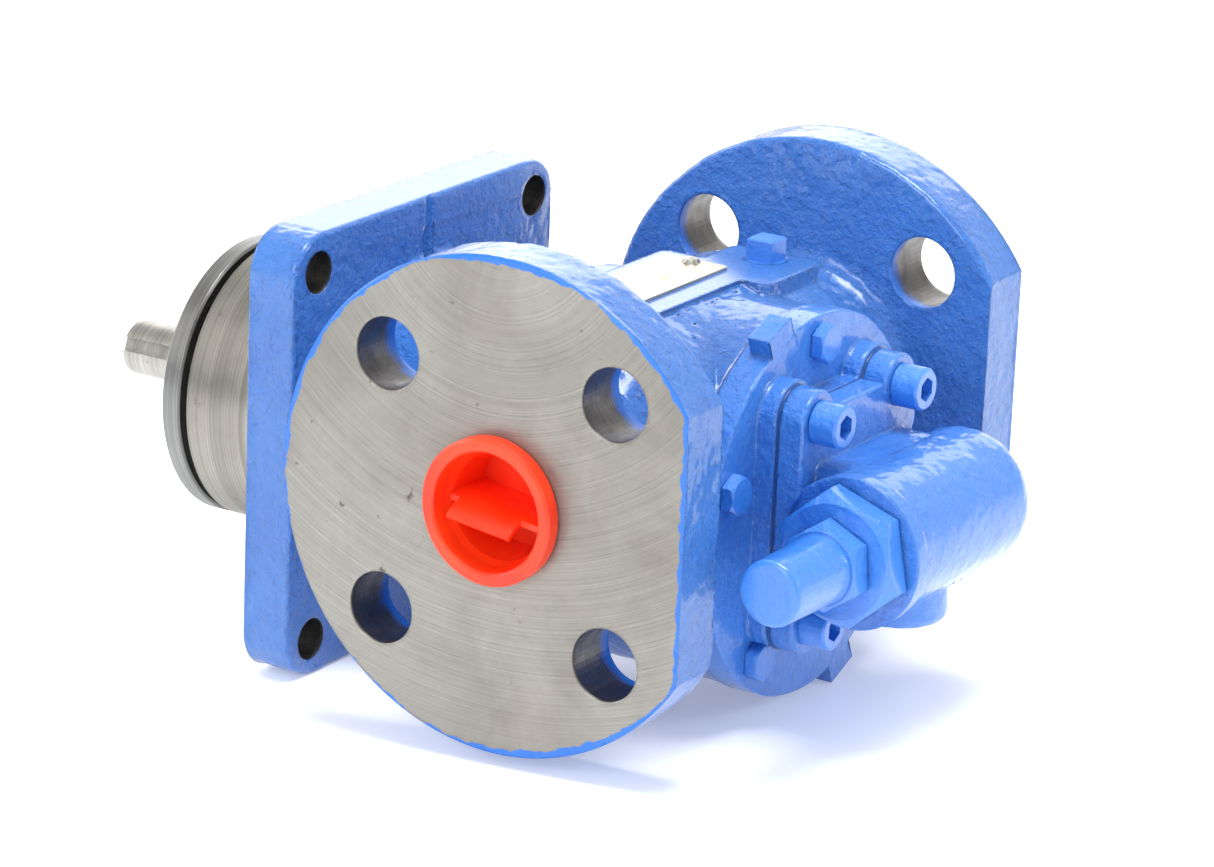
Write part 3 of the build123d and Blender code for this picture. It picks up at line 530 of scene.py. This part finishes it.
def head_piece(looks):
    """Head with its cast skin; its spigot and crescent are bare."""
    obj = copied("head", "head_cover")
    refine(obj, 1.1 * MM)
    cast_skin(obj, head_flat, 0.9)
    shade(obj, looks["blue_smooth"], looks["bore"])

    def faces(centres, normals):
        return np.where(centres[:, 0] < BARREL_END_X + 0.4 * MM, 1, 0)

    slot_faces(obj, faces)
    smooth_by_angle(obj, 40)
    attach(obj, "casing")
    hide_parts("head")
    return obj


def valve_flat(points, normals):
    """Joint face, collar and bore of the valve, which keep their true surface."""
    flat = points[:, 0] < VALVE[0].x + 0.4 * MM
    flat |= points[:, 1] < VALVE[0].y + 0.6 * MM
    axis = np.hypot(points[:, 0] - VALVE_AXIS_X, points[:, 2])
    flat |= axis < 12.5 * MM
    return flat.astype(float)


def valve_piece(looks):
    """Relief valve housing with its cast skin and bare bore."""
    obj = copied("valve_body", "relief_valve_housing")
    refine(obj, 1.0 * MM)
    cast_skin(obj, valve_flat, 0.8)
    shade(obj, looks["blue_smooth"], looks["bore"])

    def faces(centres, normals):
        axis = np.hypot(centres[:, 0] - VALVE_AXIS_X, centres[:, 2])
        bored = (axis < 11.2 * MM) & (centres[:, 1] < 20 * MM)
        return np.where(bored, 1, 0)

    slot_faces(obj, faces)
    smooth_by_angle(obj, 40)
    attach(obj, "casing")
    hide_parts("valve_body")
    return obj


# ---------------------------------------------------------------- looks by node
def make_looks():
    """Every finish, by the name of its material slot."""
    return {
        "blue_casting": painted("blue_casting", 1.0),
        "blue_smooth": painted("blue_smooth", 0.6, 0.6 * MM),
        "blue_hardware": painted("blue_hardware", 0.3, 0.35 * MM, 1.2),
        "front_face": flange_face("front_face", -1),
        "rear_face": flange_face("rear_face", 1),
        "hole_wall": hole_wall("hole_wall"),
        # Plate hole walls: near-black metal, a painted shade inside the holes.
        "plate_hole": plain_metal("plate_hole", rgb(62, 58, 54), rgb(30, 30, 36), (0.4, 0.6), metallic=0.6),
        "bore": turned_steel("bore", rgb(150, 146, 140), rgb(110, 106, 100)),
        "machined_steel": turned_steel("machined_steel", rgb(164, 161, 154), rgb(118, 115, 109)),
        "cover_steel": turned_steel("cover_steel", rgb(158, 159, 158), rgb(112, 112, 111)),
        "shaft_steel": turned_steel("shaft_steel", rgb(190, 188, 182), rgb(142, 139, 132), stain=0.25),
        "black_screw": plain_metal("black_screw", rgb(52, 52, 54), rgb(30, 30, 32), (0.35, 0.5)),
        "zinc_steel": plain_metal("zinc_steel", rgb(196, 194, 186), rgb(160, 158, 150)),
        "black_rubber": soft_sheet("black_rubber", rgb(44, 44, 46), rgb(26, 26, 28), bump=0.3),
        "bearing_steel": plain_metal("bearing_steel", rgb(208, 208, 208), rgb(178, 178, 178), (0.08, 0.18)),
        "brass_cage": plain_metal("brass_cage", rgb(204, 170, 100), rgb(164, 130, 66), (0.28, 0.42)),
        "ceramic": soft_sheet("ceramic", rgb(236, 232, 222), rgb(218, 213, 202), (0.2, 0.35), bump=0.05),
        "carbon": soft_sheet("carbon", rgb(60, 60, 63), rgb(38, 38, 41), (0.3, 0.45), bump=0.08),
        "spring_steel": plain_metal("spring_steel", rgb(150, 150, 150), rgb(104, 103, 100), (0.28, 0.45)),
        "bronze": plain_metal("bronze", rgb(196, 150, 96), rgb(150, 106, 60), (0.3, 0.45)),
        "gear_iron": plain_metal("gear_iron", rgb(128, 127, 126), rgb(92, 91, 90), (0.35, 0.5)),
        "gear_steel": plain_metal("gear_steel", rgb(166, 166, 166), rgb(126, 126, 126), (0.26, 0.4)),
        "gasket": soft_sheet("gasket", rgb(66, 62, 52), rgb(40, 37, 32), scale=1100, bump=0.6),
        "blue_seam": painted("blue_seam", 0.2, 0.1 * MM, 0.3, BLUE_SEAM),
        "plate_metal": plate_metal("plate_metal"),
        "red_plastic": moulded_plastic("red_plastic"),
    }


PAINTED_OVER = ("head_gasket", "valve_gasket", "bonnet_gasket", "cap_gasket")


def dress_nodes(looks):
    """Carried-over CAD nodes take the finish of their own material slot."""
    for name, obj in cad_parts.items():
        if obj.hide_render:
            continue
        for holder in obj.material_slots:
            slot_name = holder.material.name.split(".")[0] if holder.material else ""
            look = looks.get("blue_seam" if name in PAINTED_OVER else slot_name)
            if look is None:
                raise ValueError(f"no look for slot {slot_name} of {name}")
            holder.material = look
        smooth_by_angle(obj, 35)


# ---------------------------------------------------------------- stage
FLOOR_HALF = 6.0
CAMERA_DISTANCE = 1.08919
CAMERA_LENS = 148.3


def ground(look_name):
    """Pale sweep under the pump: it touches the plate's lower edge and the head's lug."""
    front = Vector((PLATE_T, 0, CASING[0].z))
    lug_z = HEAD[0].z
    rear = Vector((HEAD[1].x - 4.5 * MM, 0, lug_z))
    slope = math.atan2(rear.z - front.z, rear.x - front.x)
    mesh = bpy.data.meshes.new("floor")
    work = bmesh.new()
    bmesh.ops.create_grid(work, x_segments=8, y_segments=8, size=FLOOR_HALF)
    work.to_mesh(mesh)
    work.free()
    floor = bpy.data.objects.new("floor", mesh)
    bpy.context.scene.collection.objects.link(floor)
    floor.matrix_world = Matrix.Translation(front) @ Matrix.Rotation(-slope, 4, "Y")
    look = Look(look_name)
    tone = look.mix(look.span(look.noise(2.0, 3), 0.3, 0.7), (0.90, 0.91, 0.93, 1), (0.95, 0.96, 0.97, 1))
    look.set(Base_Color=tone, Roughness=look.span(look.noise(6.0, 4), 0.3, 0.7, 0.32, 0.42))
    look.set(Emission_Color=(0.97, 0.98, 1.0, 1.0), Emission_Strength=0.26)
    look.bump([(look.noise(400, 2), 0.02, 0.05 * MM)])
    shade(floor, look.mat)


def lamp(name, place, target, size, power):
    """White area light of the given size and power, aimed at the target."""
    data = bpy.data.lights.new(name, "AREA")
    data.shape = "RECTANGLE"
    data.size, data.size_y = size
    data.energy = power
    obj = bpy.data.objects.new(name, data)
    bpy.context.scene.collection.objects.link(obj)
    aim = Vector(target) - Vector(place)
    turn = aim.to_track_quat("-Z", "Y").to_matrix().to_4x4()
    obj.matrix_world = Matrix.Translation(place) @ turn


def lights():
    """A white surround, a bright wall behind for sheen, and small boxes for sharp glints."""
    middle = (0.06, 0.0, 0.0)
    lamp("top_box", (0.18, -0.08, 1.0), middle, (0.45, 0.45), 10)
    lamp("right_box", (1.2, 0.55, 0.55), middle, (0.35, 0.4), 3.5)
    lamp("rear_wall", (-0.65, 1.15, 0.55), middle, (1.8, 0.8), 9)
    lamp("front_fill", (-0.1, -1.5, 0.7), middle, (0.7, 0.7), 9)
    lamp("left_strip", (-1.2, -0.3, 0.5), middle, (0.3, 0.7), 4)
    world = bpy.data.worlds.new("studio")
    bpy.context.scene.world = world
    world.use_nodes = True
    tree = world.node_tree
    tree.nodes.clear()
    seen = tree.nodes.new("ShaderNodeLightPath").outputs["Is Camera Ray"]
    strength = tree.nodes.new("ShaderNodeMapRange")
    strength.inputs["To Min"].default_value = 0.72
    strength.inputs["To Max"].default_value = 1.0
    tree.links.new(seen, strength.inputs["Value"])
    back = tree.nodes.new("ShaderNodeBackground")
    back.inputs["Color"].default_value = (1.0, 1.0, 1.0, 1.0)
    tree.links.new(strength.outputs[0], back.inputs["Strength"])
    out = tree.nodes.new("ShaderNodeOutputWorld")
    tree.links.new(back.outputs[0], out.inputs["Surface"])


def camera():
    """Long lens from the front right, a little above, rolled by the camera's own tilt."""
    azimuth, elevation, roll = (math.radians(a) for a in (31.96, 17.70, 2.33))
    back = Vector((
        math.sin(azimuth) * math.cos(elevation),
        -math.cos(azimuth) * math.cos(elevation),
        math.sin(elevation),
    ))
    target = Vector((67.83, -11.07, 9.30)) * MM
    right = Vector((0, 0, 1)).cross(back).normalized()
    up = back.cross(right)
    turned_right = right * math.cos(roll) + up * math.sin(roll)
    turned_up = up * math.cos(roll) - right * math.sin(roll)
    pose = Matrix((turned_right, turned_up, back)).transposed().to_4x4()
    pose.translation = target + back * CAMERA_DISTANCE
    data = bpy.data.cameras.new("camera")
    data.sensor_width = 36.0
    data.lens = CAMERA_LENS
    data.clip_start = 0.05
    data.clip_end = 30.0
    obj = bpy.data.objects.new("camera", data)
    bpy.context.scene.collection.objects.link(obj)
    obj.matrix_world = pose
    bpy.context.scene.camera = obj


looks = make_looks()
casing_piece(looks)
head_piece(looks)
valve_piece(looks)
dress_nodes(looks)
ground("pale_floor")
lights()
camera()
bpy.context.scene.view_settings.view_transform = "Standard"
